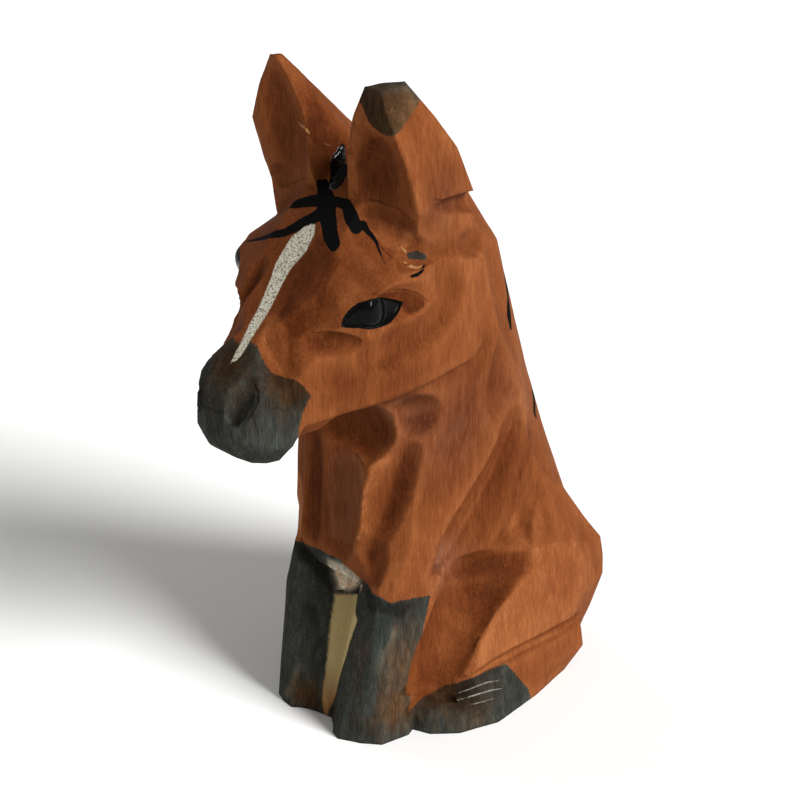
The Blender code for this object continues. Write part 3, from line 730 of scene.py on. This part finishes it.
def mend(bm):
    """Makes the mesh manifold again where its points were merged."""
    bmesh.ops.remove_doubles(bm, verts=bm.verts, dist=0.03 * MM)
    bmesh.ops.dissolve_degenerate(bm, dist=0.03 * MM, edges=bm.edges)
    for _ in range(5):
        torn = [edge for edge in bm.edges if not edge.is_manifold]
        if not torn:
            break
        bm.faces.index_update()
        faces = {face for edge in torn for vert in edge.verts for face in vert.link_faces}
        faces = sorted(faces, key=lambda face: face.index)  # a set's own order varies by run
        bmesh.ops.delete(bm, geom=faces, context="FACES")
        loose = [vert for vert in bm.verts if not vert.link_faces]
        bmesh.ops.delete(bm, geom=loose, context="VERTS")
        rims = [edge for edge in bm.edges if edge.is_boundary]
        bmesh.ops.holes_fill(bm, edges=rims, sides=0)
        bmesh.ops.triangulate(bm, faces=[face for face in bm.faces if len(face.verts) > 4])
    bmesh.ops.recalc_face_normals(bm, faces=bm.faces)


def refine(bm, fields, reach):
    """Halves the edges that lie near a mark or cut."""
    bm.edges.ensure_lookup_table()
    middles = np.array([(edge.verts[0].co + edge.verts[1].co) / 2 for edge in bm.edges]) / MM
    near = np.abs(fields(middles)) < reach
    edges = [bm.edges[k] for k in np.flatnonzero(near)]
    bmesh.ops.subdivide_edges(bm, edges=edges, cuts=1, use_grid_fill=True)
    bmesh.ops.triangulate(bm, faces=bm.faces)


def densified(source):
    """An even, closed mesh over the solid, finer round the eyes, cuts and painted edges."""
    work = bpy.data.objects.new("dense", source.data.copy())
    bpy.context.scene.collection.objects.link(work)
    modifier = work.modifiers.new("dense", "REMESH")
    modifier.mode = "SHARP"
    modifier.octree_depth, modifier.scale = OCTREE
    graph = bpy.context.evaluated_depsgraph_get()
    mesh = bpy.data.meshes.new_from_object(work.evaluated_get(graph))
    bpy.data.objects.remove(work)
    bm = bmesh.new()
    bm.from_mesh(mesh)
    mend(bm)
    refine(bm, lambda points: np.minimum(eye_field(points), cut_field(points)), 0.8)
    refine(bm, lambda points: np.minimum(black_field(points), cut_field(points)), 0.35)
    refine(bm, lambda points: stroke_field(points, (FORELOCK_RISE,)), 1.1)
    for reach in (0.7, 0.4):
        refine(bm, lambda points: stroke_field(points, SPLINTERS + SCRATCHES), reach)
    bm.to_mesh(mesh)
    bm.free()
    return mesh


def project(points, source):
    """Brings the points back onto the solid's own faces."""
    vertices = [vertex.co / MM for vertex in source.data.vertices]
    faces = [tuple(face.vertices) for face in source.data.polygons]
    tree = BVHTree.FromPolygons(vertices, faces)
    return np.array([tree.find_nearest(Vector(point))[0] for point in points])


def face_normals(points, faces):
    a, b, c = (points[faces[:, k]] for k in range(3))
    normals = np.cross(b - a, c - a)
    doubled = np.linalg.norm(normals, axis=1, keepdims=True)
    return normals / np.maximum(doubled, 1e-12), doubled[:, 0] / 2


def gather(index, values, count):
    """Sums rows of values by index."""
    return np.stack([np.bincount(index, values[:, k], count) for k in range(values.shape[1])], axis=1)


def face_pairs(faces):
    sides = np.sort(np.concatenate((faces[:, :2], faces[:, 1:], faces[:, ::2])), axis=1)
    owner = np.tile(np.arange(len(faces)), 3)
    order = np.lexsort((sides[:, 1], sides[:, 0]))
    sides, owner = sides[order], owner[order]
    same = np.flatnonzero((sides[1:] == sides[:-1]).all(axis=1))
    return owner[same], owner[same + 1]


def smooth_facets(points, faces):
    """Evens out the hollow of each cut while the ridges between cuts stay sharp."""
    first, second = face_pairs(faces)
    normals, areas = face_normals(points, faces)
    centres = points[faces].mean(axis=1)
    bend = np.degrees(np.arccos(np.clip((normals[first] * normals[second]).sum(axis=1), -1, 1)))
    step = ((centres[second] - centres[first]) * (normals[first] - normals[second])).sum(axis=1)
    limit = np.where(step < 0.0, RIDGE_BEND, HOLLOW_BEND)
    link = np.exp(-((bend / limit) ** 2))
    ends, others = np.concatenate((first, second)), np.concatenate((second, first))
    weight = (np.concatenate((link, link)) * areas[others])[:, None]
    for _ in range(FACET_ROUNDS):
        total = gather(ends, normals[others] * weight, len(faces))
        total += normals * areas[:, None] * 0.5
        normals = total / np.maximum(np.linalg.norm(total, axis=1, keepdims=True), 1e-12)
    corner = faces.ravel()
    share = np.bincount(corner, minlength=len(points))[:, None]
    for _ in range(SETTLE_ROUNDS):
        centres = points[faces].mean(axis=1)
        facing = np.repeat(normals, 3, axis=0)
        lift = ((np.repeat(centres, 3, axis=0) - points[corner]) * facing).sum(axis=1)
        points = points + gather(corner, facing * lift[:, None], len(points)) / share * 0.9
    return points


def untangle(points, faces):
    """Relaxes the few points where the fine mesh folded over itself at a sharp corner."""
    for _ in range(UNTANGLE_ROUNDS):
        normals, _ = face_normals(points, faces)
        around = vertex_normals(points, faces)[faces].sum(axis=1)
        around /= np.maximum(np.linalg.norm(around, axis=1, keepdims=True), 1e-12)
        folded = np.unique(faces[(normals * around).sum(axis=1) < FOLD_LIMIT])
        folded = folded[points[folded, 2] < EAR_FOOT]
        points[folded] = spread(points, faces, 1)[folded]
    return points


def vertex_normals(points, faces):
    normals, areas = face_normals(points, faces)
    total = gather(faces.ravel(), np.repeat(normals * areas[:, None], 3, axis=0), len(points))
    return total / np.maximum(np.linalg.norm(total, axis=1, keepdims=True), 1e-12)


def spread(values, faces, rounds):
    """Averages a value over its neighbours again and again."""
    sides = np.concatenate((faces[:, :2], faces[:, 1:], faces[:, ::2]))
    ends, others = sides.ravel(), sides[:, ::-1].ravel()
    count = np.bincount(ends, minlength=len(values))
    for _ in range(rounds):
        if values.ndim == 1:
            values = np.bincount(ends, values[others], len(values)) / count
        else:
            values = gather(ends, values[others], len(values)) / count[:, None]
    return values


def fibre_noise(points, across, along, seed):
    """Smooth noise drawn out along the wood's vertical grain."""
    scaled = points * (across, across, along) + seed
    return np.array([noise.noise(Vector(point)) for point in scaled])


def carve_details(points, faces):
    """Lips, stop cuts, cracks, the raised eyeballs and the small unevenness of hand work."""
    normals = vertex_normals(points, faces)
    rise = np.zeros(len(points))
    for cut in CUTS:
        rows = np.array(cut, float)
        depth = np.zeros(len(points))
        for a, b in zip(rows, rows[1:]):
            run = b[:3] - a[:3]
            t = np.clip(((points - a[:3]) @ run) / (run @ run), 0.0, 1.0)
            gap = np.linalg.norm(points - a[:3] - t[:, None] * run, axis=1)
            half, deep = (a[k] + t * (b[k] - a[k]) for k in (3, 4))
            depth = np.maximum(depth, deep * np.clip(1.0 - gap / half, 0.0, 1.0) ** 0.7)
        rise -= depth
    lacquer = np.clip(-stroke_field(points, (FORELOCK_RISE,)) / 0.9, 0.0, 1.0)
    rise += RISE * np.sqrt(lacquer) + RIPPLE * lacquer * fibre_noise(points, 1.7, 1.7, 7.0)
    rise += WAVINESS * fibre_noise(points, 0.45, 0.12, 3.0)
    rise += FIBRE_RELIEF * fibre_noise(points, 2.4, 0.25, 11.0)
    almond = eye_field(points)
    rise *= np.clip(almond / 0.5, 0.0, 1.0)
    points = points + normals * rise[:, None]

    _, outward = plane_of(EYE)
    inside = np.clip(-almond / 0.3, 0.0, 1.0)
    gap = left_side(points) - EYEBALL
    off_axis = np.linalg.norm(gap - (gap @ outward)[:, None] * outward, axis=1)
    rim = EYEBALL_RADIUS**2 - EYEBALL_OUTLINE**2
    ball = np.sqrt(np.clip(EYEBALL_RADIUS**2 - off_axis**2, rim, None)) - math.sqrt(rim)
    push = np.where(almond < 0.0, inside * (ball - EYE_SUNK), 0.0)
    sides = np.where(points[:, :1] < 0.0, -1.0, 1.0)
    return points + push[:, None] * outward * np.hstack((sides, np.ones((len(points), 2))))


# ---------------------------------------------------------------- materials


STAIN_STOPS = (
    (0.0, (0.031, 0.0072, 0.0019, 1)),
    (0.25, (0.075, 0.0177, 0.0043, 1)),
    (0.5, (0.133, 0.0358, 0.0096, 1)),
    (0.75, (0.193, 0.058, 0.017, 1)),
    (1.0, (0.288, 0.1, 0.033, 1)),
)
PORE = (0.05, 0.012, 0.004, 1)
PAINT_GREY = (0.023, 0.025, 0.021, 1)
PAINT_BROWN = (0.034, 0.0172, 0.0075, 1)
BARE_WOOD = (0.36, 0.27, 0.12, 1)
BARE_FIBRE = (0.52, 0.4, 0.19, 1)
BARE_FOOT = (0.26, 0.11, 0.035, 1)
SCRAPED_STAIN = (0.34, 0.17, 0.065, 1)
SCRAPED_PAINT = (0.24, 0.24, 0.2, 1)
BLACK = (0.0024, 0.0028, 0.0024, 1)
WHITE = (0.56, 0.54, 0.44, 1)
WHITE_SPECK = (0.15, 0.12, 0.08, 1)
# this share is also lost where sheen is painted
DULLING_AND_SHEEN = 0.06  # share of its strength that the stain loses where it is rubbed dull
SPECULAR = 0.03
COAT_ROUGHNESS = 0.07
GREY_ROUGHNESS = 0.75
BLACK_ROUGHNESS = 0.8
WET_ROUGHNESS = 0.16
EYE_GLOSS = 0.06
TUFT_GLOSS = 0.2


def shader_nodes(material):
    material.use_nodes = True
    tree = material.node_tree
    return tree, tree.nodes["Principled BSDF"]


def add(tree, kind, inputs=(), **settings):
    """A node with its settings made and its inputs set or linked."""
    node = tree.nodes.new(kind)
    for name, value in settings.items():
        setattr(node, name, value)
    for name, value in dict(inputs).items():
        if isinstance(value, bpy.types.NodeSocket):
            tree.links.new(value, node.inputs[name])
        else:
            node.inputs[name].default_value = value
    return node


def math_node(tree, operation, first, second=0.0, clamp=False):
    node = add(tree, "ShaderNodeMath", {0: first, 1: second}, operation=operation)
    node.use_clamp = clamp
    return node.outputs[0]


def grain(tree, scale, detail=3.0, distortion=0.0):
    """Noise in millimetres of the carving; scale is given across and along the grain."""
    where = add(tree, "ShaderNodeTexCoord").outputs["Object"]
    across, along = scale
    mapping = add(
        tree,
        "ShaderNodeMapping",
        {"Vector": where, "Scale": (across / MM, across / MM, along / MM)},
    )
    return add(
        tree,
        "ShaderNodeTexNoise",
        {"Vector": mapping.outputs[0], "Scale": 1.0, "Detail": detail, "Roughness": 0.6,
         "Distortion": distortion},
    ).outputs["Fac"]


def ramp(tree, value, low, high, to_low=0.0, to_high=1.0):
    return add(
        tree,
        "ShaderNodeMapRange",
        {"Value": value, "From Min": low, "From Max": high, "To Min": to_low, "To Max": to_high},
        interpolation_type="SMOOTHSTEP",
    ).outputs["Result"]


def blend(tree, factor, below, above, mode="MIX"):
    node = add(tree, "ShaderNodeMix", data_type="RGBA", blend_type=mode)
    for index, value in ((0, factor), (6, below), (7, above)):
        if isinstance(value, bpy.types.NodeSocket):
            tree.links.new(value, node.inputs[index])
        else:
            node.inputs[index].default_value = value
    return node.outputs[2]


def mixed(tree, factor, below, above):
    return add(tree, "ShaderNodeMix", {0: factor, 2: below, 3: above}, data_type="FLOAT").outputs[0]


def field(tree, name):
    return add(tree, "ShaderNodeAttribute", attribute_name=name).outputs["Fac"]


def evenly(tree, value):
    return add(tree, "ShaderNodeCombineColor", {0: value, 1: value, 2: value}).outputs[0]


def paint_mask(tree, name, ragged, softness):
    """Where a brushed mark lies: its field, roughened along the grain."""
    fuzz = grain(tree, (2.6, 1.3), 4.0)
    push = math_node(tree, "MULTIPLY", math_node(tree, "SUBTRACT", fuzz, 0.5), ragged)
    edge = math_node(tree, "ADD", field(tree, name), push)
    return ramp(tree, edge, softness, -softness)


def painted_wood():
    material = bpy.data.materials.new("stained_and_painted_wood")
    tree, shader = shader_nodes(material)
    shader.inputs["Specular IOR Level"].default_value = SPECULAR
    shader.inputs["Coat Roughness"].default_value = COAT_ROUGHNESS

    # stain: darker in hollows and end grain, lighter on ridges
    blotches = grain(tree, (0.3, 0.16), 3.0, 0.6)
    fibres = grain(tree, (4.2, 0.3), 4.0)
    hairs = grain(tree, (9.0, 0.7), 2.0)
    mottle = grain(tree, (1.1, 0.3), 3.0)
    tone = field(tree, "tone")
    for pattern, swing in ((blotches, 0.05), (mottle, 0.05), (fibres, 0.08)):
        tone = math_node(tree, "ADD", tone, ramp(tree, pattern, 0.3, 0.7, -swing, swing))
    tone = math_node(tree, "ADD", tone, ramp(tree, hairs, 0.3, 0.7, -0.07, 0.07), clamp=True)
    stain = add(tree, "ShaderNodeValToRGB", {"Fac": tone})
    stops = stain.color_ramp.elements
    stops[0].position, stops[0].color = STAIN_STOPS[0]
    stops[1].position, stops[1].color = STAIN_STOPS[-1]
    for position, colour in STAIN_STOPS[1:-1]:
        stops.new(position).color = colour
    pores = ramp(tree, grain(tree, (3.4, 1.6), 2.0), 0.69, 0.76)
    pores = math_node(tree, "MULTIPLY", pores, 0.5)
    colour = blend(tree, pores, stain.outputs[0], PORE)
    # stain made milky where rubbed dull and where sheen is painted
    dull_and_sheen = math_node(tree, "MULTIPLY", field(tree, "dull_and_sheen"), ramp(tree, mottle, 0.3, 0.7, 0.5, 1.5))
    strength = math_node(tree, "SUBTRACT", 1.0, math_node(tree, "MULTIPLY", dull_and_sheen, DULLING_AND_SHEEN))
    colour = add(tree, "ShaderNodeHueSaturation", {"Saturation": strength, "Color": colour}).outputs[0]

    # thin grey-black paint, warmer and browner where it is thin
    worn = grain(tree, (1.4, 0.3), 5.0)
    browned = ramp(tree, worn, 0.3, 0.7, -0.16, 0.16)
    warmth = math_node(tree, "ADD", field(tree, "warm"), browned, clamp=True)
    grey_colour = blend(tree, warmth, PAINT_GREY, PAINT_BROWN)
    pale = math_node(tree, "ADD", field(tree, "pale"), ramp(tree, hairs, 0.3, 0.7, -0.5, 0.5))
    pale = math_node(tree, "ADD", pale, ramp(tree, mottle, 0.3, 0.7, -0.4, 0.4))
    strength = math_node(tree, "POWER", 2.0, pale)
    grey_colour = blend(tree, 1.0, grey_colour, evenly(tree, strength), "MULTIPLY")
    grey = paint_mask(tree, "grey", 0.6, 0.15)
    colour = blend(tree, grey, colour, grey_colour)

    # wood that neither reached, oranger where it meets the ground, and the fresh scrapes
    height = add(tree, "ShaderNodeSeparateXYZ", {0: add(tree, "ShaderNodeTexCoord").outputs["Object"]})
    soaked = ramp(tree, height.outputs[2], 1.0 * MM, 9.0 * MM, 0.9, 0.0)
    bare_colour = blend(tree, fibres, BARE_WOOD, BARE_FIBRE)
    bare_colour = blend(tree, soaked, bare_colour, BARE_FOOT)
    bare = paint_mask(tree, "bare", 0.5, 0.25)
    colour = blend(tree, bare, colour, bare_colour)
    scrapes = paint_mask(tree, "scraped", 0.1, 0.06)
    scrapes = math_node(tree, "MULTIPLY", scrapes, ramp(tree, hairs, 0.3, 0.5, 0.35, 0.9))
    scraped_colour = blend(tree, grey, SCRAPED_STAIN, SCRAPED_PAINT)
    colour = blend(tree, scrapes, colour, scraped_colour)

    black = paint_mask(tree, "black", 0.25, 0.05)
    colour = blend(tree, black, colour, BLACK)

    speckle = ramp(tree, grain(tree, (5.5, 2.6), 4.0), 0.55, 0.4)
    white_colour = blend(tree, speckle, WHITE, WHITE_SPECK)
    white = paint_mask(tree, "white", 0.4, 0.12)
    colour = blend(tree, white, colour, white_colour)
    tree.links.new(colour, shader.inputs["Base Color"])

    satin = ramp(tree, fibres, 0.2, 0.8, 0.62, 0.78)
    rough = mixed(tree, grey, satin, GREY_ROUGHNESS)
    rough = mixed(tree, black, rough, BLACK_ROUGHNESS)
    gloss = field(tree, "gloss")
    wet = math_node(tree, "MULTIPLY", gloss, 20.0, True)
    rough = mixed(tree, wet, rough, WET_ROUGHNESS)
    tree.links.new(rough, shader.inputs["Roughness"])
    tree.links.new(gloss, shader.inputs["Coat Weight"])

    furrows = math_node(tree, "ADD", fibres, math_node(tree, "MULTIPLY", hairs, 0.5))
    furrows = math_node(tree, "SUBTRACT", furrows, pores)
    furrows = math_node(tree, "MULTIPLY", furrows, ramp(tree, wet, 0.0, 1.0, 1.0, 0.1))
    relief = {"Height": furrows, "Strength": 0.5, "Distance": 0.1 * MM}
    bump = add(tree, "ShaderNodeBump", relief)
    tree.links.new(bump.outputs[0], shader.inputs["Normal"])
    return material


# ---------------------------------------------------------------- the foal


def carve_foal(source):
    mesh = densified(source)
    points, faces = mesh_arrays(mesh)
    points = project(points, source)
    points = untangle(smooth_facets(points, faces), faces)
    low, high = (np.array(corner) / MM for corner in cad_box)
    points = carve_details(points, faces)
    points = np.clip(points, low, high)
    mesh.vertices.foreach_set("co", (points * MM).ravel())

    normals = vertex_normals(points, faces)
    for name, values in paint_fields(points, faces, normals).items():
        layer = mesh.attributes.new(name, "FLOAT", "POINT")
        layer.data.foreach_set("value", values.astype(np.float32))
    mesh.polygons.foreach_set("use_smooth", np.ones(len(mesh.polygons), bool))
    mesh.materials.clear()
    mesh.materials.append(painted_wood())
    mesh.update()
    foal = bpy.data.objects.new("carved_foal", mesh)
    bpy.context.scene.collection.objects.link(foal)
    return foal


def nearness(points, centre, radius):
    """One at a spot, falling smoothly to nothing round it."""
    return np.exp(-((points - centre) ** 2).sum(axis=1) / radius**2)


def crisp(field):
    """One inside a mark and nothing outside it, over a narrow edge."""
    return np.clip(0.5 - field / CUT_EDGE, 0.0, 1.0)


def paint_fields(points, faces, normals):
    """Per-point values that the material reads: paint fields in mm, and the stain's tone; these carry
    painted light, shade and sheen as well.
    """
    bulge = ((points - spread(points, faces, 14)) * normals).sum(axis=1)
    ridges = spread(np.clip(bulge / 0.12, -1.5, 1.5), faces, 1)
    tone = 0.62 + 0.09 * ridges - 0.08 * np.abs(normals[:, 2])
    # painted light and shade on faces turned one way, with the stain's own differences
    for centre, radius, facing, change in STAIN_AND_SHADE_TINTS:
        way = np.array(facing) / np.linalg.norm(facing)
        share = np.clip((normals @ way - 0.5) / 0.3, 0.0, 1.0)
        tone += change * share * nearness(points, centre, radius)
    dull_and_sheen = 0.7 * crisp(patch_field(points, DULL_FACET, 1.4))
    tone += 0.14 * dull_and_sheen
    # painted sheen: the stain made milky at these spots
    for centre, radius, amount in PAINTED_SHEEN:
        dull_and_sheen += amount * nearness(points, centre, radius)
    warm = 0.12 - 0.1 * ridges
    pale = 0.25 * ridges
    # pale paint on the ledge, with painted light added, most of it low down where the lip shades it
    ledge_and_light = np.clip(0.5 - patch_field(points, LEDGE_PALE_AND_LIT, 2.6) / BRUSH_EDGE, 0.0, 1.0)
    warm += 0.3 * ledge_and_light
    pale += (4.6 - 1.7 * np.clip((points[:, 2] - 20.5) / 3.5, 0.0, 1.0)) * ledge_and_light
    # paint tints, with painted light and shade on the ear tip
    for centre, radius, browner, lighter in PAINT_AND_LIGHT_TINTS:
        share = nearness(points, centre, radius)
        warm += browner * share
        pale += lighter * share
    # brush strokes, with painted shade in the nostril and at the top of the stockings
    for stroke, browner, lighter in BRUSH_AND_SHADE_MARKS:
        share = np.clip(0.5 - stroke_field(points, (stroke,)) / BRUSH_EDGE, 0.0, 1.0)
        warm += browner * share
        pale += lighter * share
    # crisp facets of stain, with painted light and shade on some of them
    for outline, reach, change in CUT_STAIN_AND_SHADE:
        tone += change * crisp(patch_field(points, outline, reach))
    # tones along curved cuts, with painted highlights along ridges
    for stroke, change in STROKE_TONES_AND_HIGHLIGHTS:
        tone += change * crisp(stroke_field(points, (stroke,)))
    tuft = stroke_field(points, (FORELOCK_RISE,))
    return {
        "tone": np.clip(tone, 0.0, 1.0),
        "dull_and_sheen": dull_and_sheen,
        "warm": warm,
        "pale": pale,
        "grey": grey_field(points),
        "bare": bare_field(points),
        "scraped": stroke_field(points, SPLINTERS + SCRATCHES),
        "white": stroke_field(points, (BLAZE,)),
        "black": black_field(points),
        "gloss": EYE_GLOSS * crisp(eye_field(points) + 0.25) + TUFT_GLOSS * crisp(tuft),
    }


# ---------------------------------------------------------------- studio

CAMERA_TARGET = (7.24, -5.7, 50.0)
CAMERA_AZIMUTH = 47.0
CAMERA_ELEVATION = 25.0
CAMERA_DISTANCE = 300.0
CAMERA_LENS = 102.4
FLOOR_HALF = 90.0  # metres
FLOOR_COLOUR = (0.9, 0.9, 0.89, 1)
LIGHT_AIM = (0.0, 0.0, 0.045)  # metres
LIGHT_DISTANCE = 0.6  # metres
KEY_LIGHT = (97, 36, 24, 4.8)  # azimuth, elevation, angle across, power
SIDE_FILL = (-80, 25, 0.5, 0.8)  # azimuth, elevation, size in metres, power
SKY_STRENGTH = 0.26


def direction(azimuth, elevation):
    a, e = math.radians(azimuth), math.radians(elevation)
    return Vector((math.sin(a) * math.cos(e), -math.cos(a) * math.cos(e), math.sin(e)))


def aim(obj, target, towards):
    obj.location = target
    obj.rotation_mode = "QUATERNION"
    obj.rotation_quaternion = towards.to_track_quat("Z", "Y")


def add_camera():
    data = bpy.data.cameras.new("camera")
    data.sensor_width = 36.0
    data.lens = CAMERA_LENS
    data.clip_start = 0.01
    camera = bpy.data.objects.new("camera", data)
    bpy.context.scene.collection.objects.link(camera)
    back = direction(CAMERA_AZIMUTH, CAMERA_ELEVATION)
    aim(camera, (Vector(CAMERA_TARGET) + back * CAMERA_DISTANCE) * MM, back)
    bpy.context.scene.camera = camera


def add_light(name, azimuth, elevation, size, power):
    data = bpy.data.lights.new(name, "AREA")
    data.size = size
    data.energy = power
    light = bpy.data.objects.new(name, data)
    bpy.context.scene.collection.objects.link(light)
    towards = direction(azimuth, elevation)
    aim(light, Vector(LIGHT_AIM) + towards * LIGHT_DISTANCE, towards)


def add_sun(azimuth, elevation, spread_angle, power):
    data = bpy.data.lights.new("key", "SUN")
    data.angle = math.radians(spread_angle)
    data.energy = power
    sun = bpy.data.objects.new("key", data)
    bpy.context.scene.collection.objects.link(sun)
    towards = direction(azimuth, elevation)
    aim(sun, towards, towards)


def add_floor():
    mesh = bpy.data.meshes.new("floor")
    bm = bmesh.new()
    bmesh.ops.create_grid(bm, x_segments=1, y_segments=1, size=FLOOR_HALF)
    bm.to_mesh(mesh)
    bm.free()
    floor = bpy.data.objects.new("floor", mesh)
    bpy.context.scene.collection.objects.link(floor)
    material = bpy.data.materials.new("pale_floor")
    _, shader = shader_nodes(material)
    shader.inputs["Base Color"].default_value = FLOOR_COLOUR
    shader.inputs["Roughness"].default_value = 0.9
    mesh.materials.append(material)


def add_studio():
    add_camera()
    add_floor()
    add_sun(*KEY_LIGHT)
    add_light("side_fill", *SIDE_FILL)
    world = bpy.data.worlds.new("studio")
    world.use_nodes = True
    world.node_tree.nodes["Background"].inputs["Color"].default_value = (1, 1, 1, 1)
    world.node_tree.nodes["Background"].inputs["Strength"].default_value = SKY_STRENGTH
    bpy.context.scene.world = world
    bpy.context.scene.view_settings.view_transform = "Standard"


foal = carve_foal(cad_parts["horse"])
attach(foal, "root")
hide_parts("horse")
add_studio()
